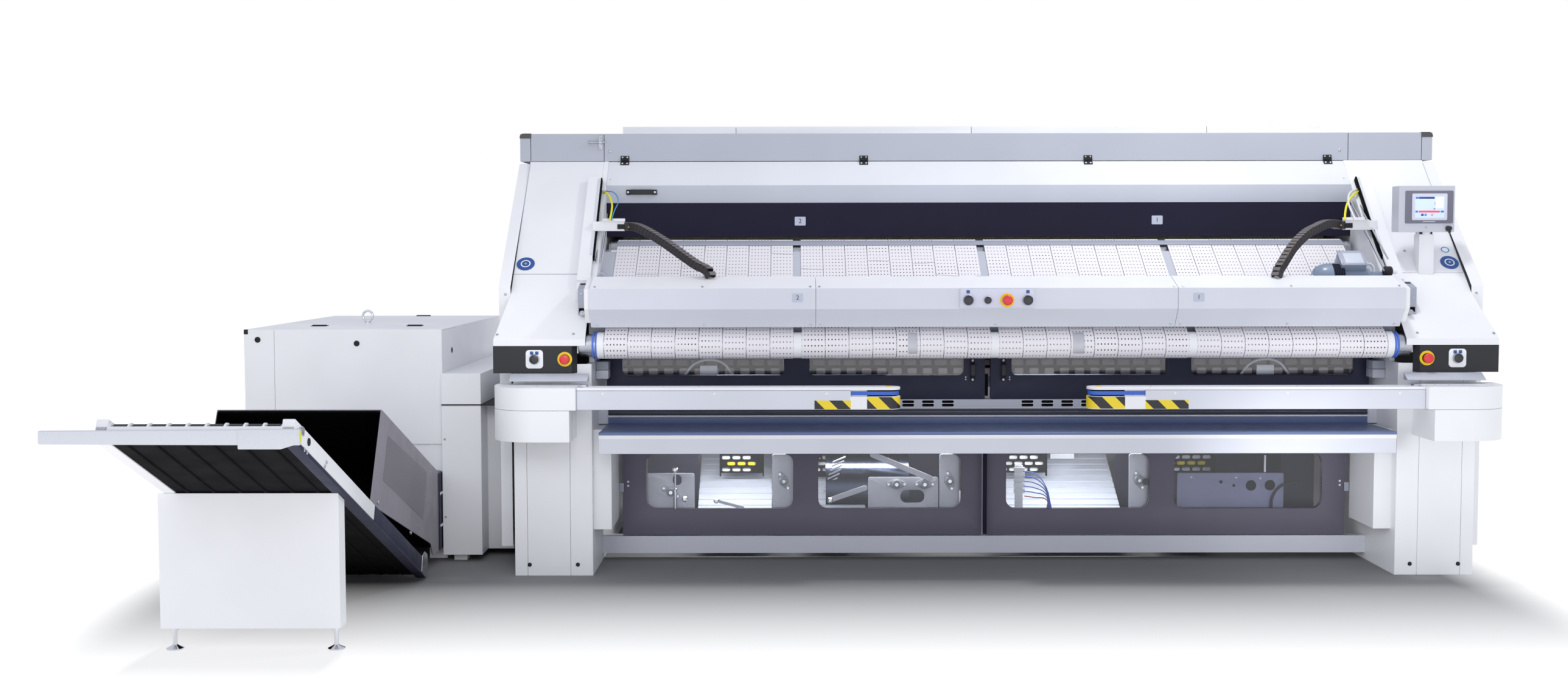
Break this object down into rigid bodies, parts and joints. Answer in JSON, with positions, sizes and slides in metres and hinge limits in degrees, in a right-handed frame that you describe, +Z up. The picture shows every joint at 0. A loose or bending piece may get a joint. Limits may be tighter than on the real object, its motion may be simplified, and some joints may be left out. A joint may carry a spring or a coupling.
{
  "type": "flatwork ironer",
  "caption": "Industrial flatwork ironer with a perforated feed belt table, an ironing roll and chest, folding gear in a side box and a ramp stacker.",
  "frame": {"origin": "middle of the footprint of the whole object, on the floor", "axes": "+X to the operator's right, +Y to the back of the machine, +Z up"},
  "size_m": [5.41, 3.7908, 1.97],
  "materials": {
    "white_paint": "satin powder coat",
    "grey_paint": "satin powder coat",
    "charcoal_paint": "matte powder coat",
    "door_paint": "satin powder coat",
    "black_plastic": "moulded, fine texture",
    "red_plastic": "moulded, gloss",
    "steel": "turned and brushed",
    "belt_fabric": "woven belt, perforated",
    "roll_padding": "needle felt padding"
  },
  "bodies": {
    "root": {"side_frame_left": "white_paint", "side_cabinet_left": "white_paint", "side_cover_left": "white_paint", "control_box_left": "black_plastic", "arm_bracket_left": "white_paint", "rail_unit_left": "grey_paint", "energy_chain_left": "black_plastic", "side_frame_right": "white_paint", "side_cabinet_right": "white_paint", "side_cover_right": "white_paint", "control_box_right": "black_plastic", "arm_bracket_right": "white_paint", "rail_unit_right": "grey_paint", "energy_chain_right": "black_plastic", "console_left": "white_paint", "console_right": "white_paint", "fascia_beam": "grey_paint", "roof_cover": "white_paint", "back_cover": "white_paint", "air_guide_panel": "charcoal_paint", "feed_belts": "belt_fabric", "suction_bed": "grey_paint", "feed_beam": "grey_paint", "heated_chest": "steel", "shelf": "grey_paint", "door_frame": "grey_paint", "folder_housing": "white_paint", "drive_cabinet": "white_paint", "transfer_cover": "white_paint", "stack_tunnel": "charcoal_paint", "ramp_frame": "white_paint", "ramp_belts": "black_plastic", "stacker_leg": "white_paint", "guard_bar": "white_paint"},
    "hood": {"hood": "white_paint"},
    "feed_roller": {"feed_roller": "steel"},
    "tail_roller": {"tail_roller": "steel"},
    "button_centre_left": {"button_centre_left": "black_plastic"},
    "button_centre_small": {"button_centre_small": "black_plastic"},
    "estop_centre": {"estop_centre": "red_plastic"},
    "button_centre_right": {"button_centre_right": "black_plastic"},
    "estop_left": {"estop_left": "red_plastic"},
    "button_left": {"button_left": "black_plastic"},
    "estop_right": {"estop_right": "red_plastic"},
    "button_right": {"button_right": "black_plastic"},
    "ironing_roll": {"ironing_roll": "roll_padding"},
    "return_roller": {"return_roller": "steel"},
    "lower_door_left": {"lower_door_left": "door_paint"},
    "guard_door_left": {"guard_door_left": "charcoal_paint"},
    "arm_left": {"arm_left": "white_paint"},
    "lower_door_right": {"lower_door_right": "door_paint"},
    "guard_door_right": {"guard_door_right": "charcoal_paint"},
    "arm_right": {"arm_right": "white_paint"},
    "operator_panel": {"operator_panel": "black_plastic"},
    "key_switch": {"key_switch": "steel"},
    "folder_cover": {"folder_cover": "white_paint"},
    "fold_roller_lower": {"fold_roller_lower": "steel"},
    "fold_roller_upper": {"fold_roller_upper": "steel"},
    "ramp_foot_roller": {"ramp_foot_roller": "steel"},
    "ramp_head_roller": {"ramp_head_roller": "steel"}
  },
  "joints": [
    {"name": "hood_hinge", "type": "hinge", "parent": "root", "child": "hood", "pos_m": [0.585, 0.78941, 1.802], "axis": [-1, 0, 0], "range_deg": [0, 75]},
    {"name": "feed_roller_spin", "type": "hinge", "parent": "root", "child": "feed_roller", "pos_m": [0.585, 0.06541, 0.982], "axis": [1, 0, 0], "continuous": true},
    {"name": "tail_roller_spin", "type": "hinge", "parent": "root", "child": "tail_roller", "pos_m": [0.585, 0.66301, 1.37455], "axis": [1, 0, 0], "continuous": true},
    {"name": "return_roller_spin", "type": "hinge", "parent": "root", "child": "return_roller", "pos_m": [0.585, 0.39541, 0.868], "axis": [1, 0, 0], "continuous": true},
    {"name": "ironing_roll_spin", "type": "hinge", "parent": "root", "child": "ironing_roll", "pos_m": [0.585, 1.12541, 1.15], "axis": [1, 0, 0], "continuous": true},
    {"name": "arm_left_hinge", "type": "hinge", "parent": "root", "child": "arm_left", "pos_m": [-1.159, -0.17459, 0.73], "axis": [0, 0, -1], "range_deg": [0, 90]},
    {"name": "arm_right_hinge", "type": "hinge", "parent": "root", "child": "arm_right", "pos_m": [2.329, -0.17459, 0.73], "axis": [0, 0, 1], "range_deg": [0, 90]},
    {"name": "lower_door_left_hinge", "type": "hinge", "parent": "root", "child": "lower_door_left", "pos_m": [0.575, 0.41141, 0.11], "axis": [0, 0, 1], "range_deg": [0, 80]},
    {"name": "lower_door_right_hinge", "type": "hinge", "parent": "root", "child": "lower_door_right", "pos_m": [0.595, 0.41141, 0.11], "axis": [0, 0, -1], "range_deg": [0, 80]},
    {"name": "guard_door_left_slide", "type": "slide", "parent": "root", "child": "guard_door_left", "axis": [0, 0, 1], "range_m": [0, 0.03]},
    {"name": "guard_door_right_slide", "type": "slide", "parent": "root", "child": "guard_door_right", "axis": [0, 0, 1], "range_m": [0, 0.03]},
    {"name": "operator_panel_hinge", "type": "hinge", "parent": "root", "child": "operator_panel", "pos_m": [2.487, 0.30541, 1.4585], "axis": [0, 0, 1], "range_deg": [-30, 30]},
    {"name": "key_switch_hinge", "type": "hinge", "parent": "operator_panel", "child": "key_switch", "pos_m": [2.572, 0.25541, 1.474], "axis": [0, 1, 0], "range_deg": [0, 90]},
    {"name": "estop_centre_slide", "type": "slide", "parent": "root", "child": "estop_centre", "axis": [0, 1, 0], "range_m": [0, 0.005], "stiffness_N_per_m": 1500},
    {"name": "estop_left_slide", "type": "slide", "parent": "root", "child": "estop_left", "axis": [0, 1, 0], "range_m": [0, 0.005], "stiffness_N_per_m": 1500},
    {"name": "estop_right_slide", "type": "slide", "parent": "root", "child": "estop_right", "axis": [0, 1, 0], "range_m": [0, 0.005], "stiffness_N_per_m": 1500},
    {"name": "button_centre_left_slide", "type": "slide", "parent": "root", "child": "button_centre_left", "axis": [0, 1, 0], "range_m": [0, 0.005], "stiffness_N_per_m": 800},
    {"name": "button_centre_small_slide", "type": "slide", "parent": "root", "child": "button_centre_small", "axis": [0, 1, 0], "range_m": [0, 0.005], "stiffness_N_per_m": 800},
    {"name": "button_centre_right_slide", "type": "slide", "parent": "root", "child": "button_centre_right", "axis": [0, 1, 0], "range_m": [0, 0.005], "stiffness_N_per_m": 800},
    {"name": "button_left_slide", "type": "slide", "parent": "root", "child": "button_left", "axis": [0, 1, 0], "range_m": [0, 0.005], "stiffness_N_per_m": 800},
    {"name": "button_right_slide", "type": "slide", "parent": "root", "child": "button_right", "axis": [0, 1, 0], "range_m": [0, 0.005], "stiffness_N_per_m": 800},
    {"name": "folder_cover_hinge", "type": "hinge", "parent": "root", "child": "folder_cover", "pos_m": [-2.2655, 0.73041, 1.038], "axis": [-1, 0, 0], "range_deg": [0, 80]},
    {"name": "fold_roller_lower_spin", "type": "hinge", "parent": "root", "child": "fold_roller_lower", "pos_m": [-2.2655, 1.09541, 0.72], "axis": [1, 0, 0], "continuous": true},
    {"name": "fold_roller_upper_spin", "type": "hinge", "parent": "root", "child": "fold_roller_upper", "pos_m": [-2.2655, 1.09541, 0.801], "axis": [1, 0, 0], "continuous": true},
    {"name": "ramp_head_roller_spin", "type": "hinge", "parent": "root", "child": "ramp_head_roller", "pos_m": [-2.13, -1.82964, 0.82092], "axis": [1, 0, 0], "continuous": true},
    {"name": "ramp_foot_roller_spin", "type": "hinge", "parent": "root", "child": "ramp_foot_roller", "pos_m": [-2.13, -0.03959, 0.05], "axis": [1, 0, 0], "continuous": true}
  ],
  "couplings": [
    {"joint": "tail_roller_spin", "follows": "feed_roller_spin", "ratio": 1},
    {"joint": "fold_roller_upper_spin", "follows": "fold_roller_lower_spin", "ratio": -1},
    {"joint": "ramp_foot_roller_spin", "follows": "ramp_head_roller_spin", "ratio": 1}
  ]
}
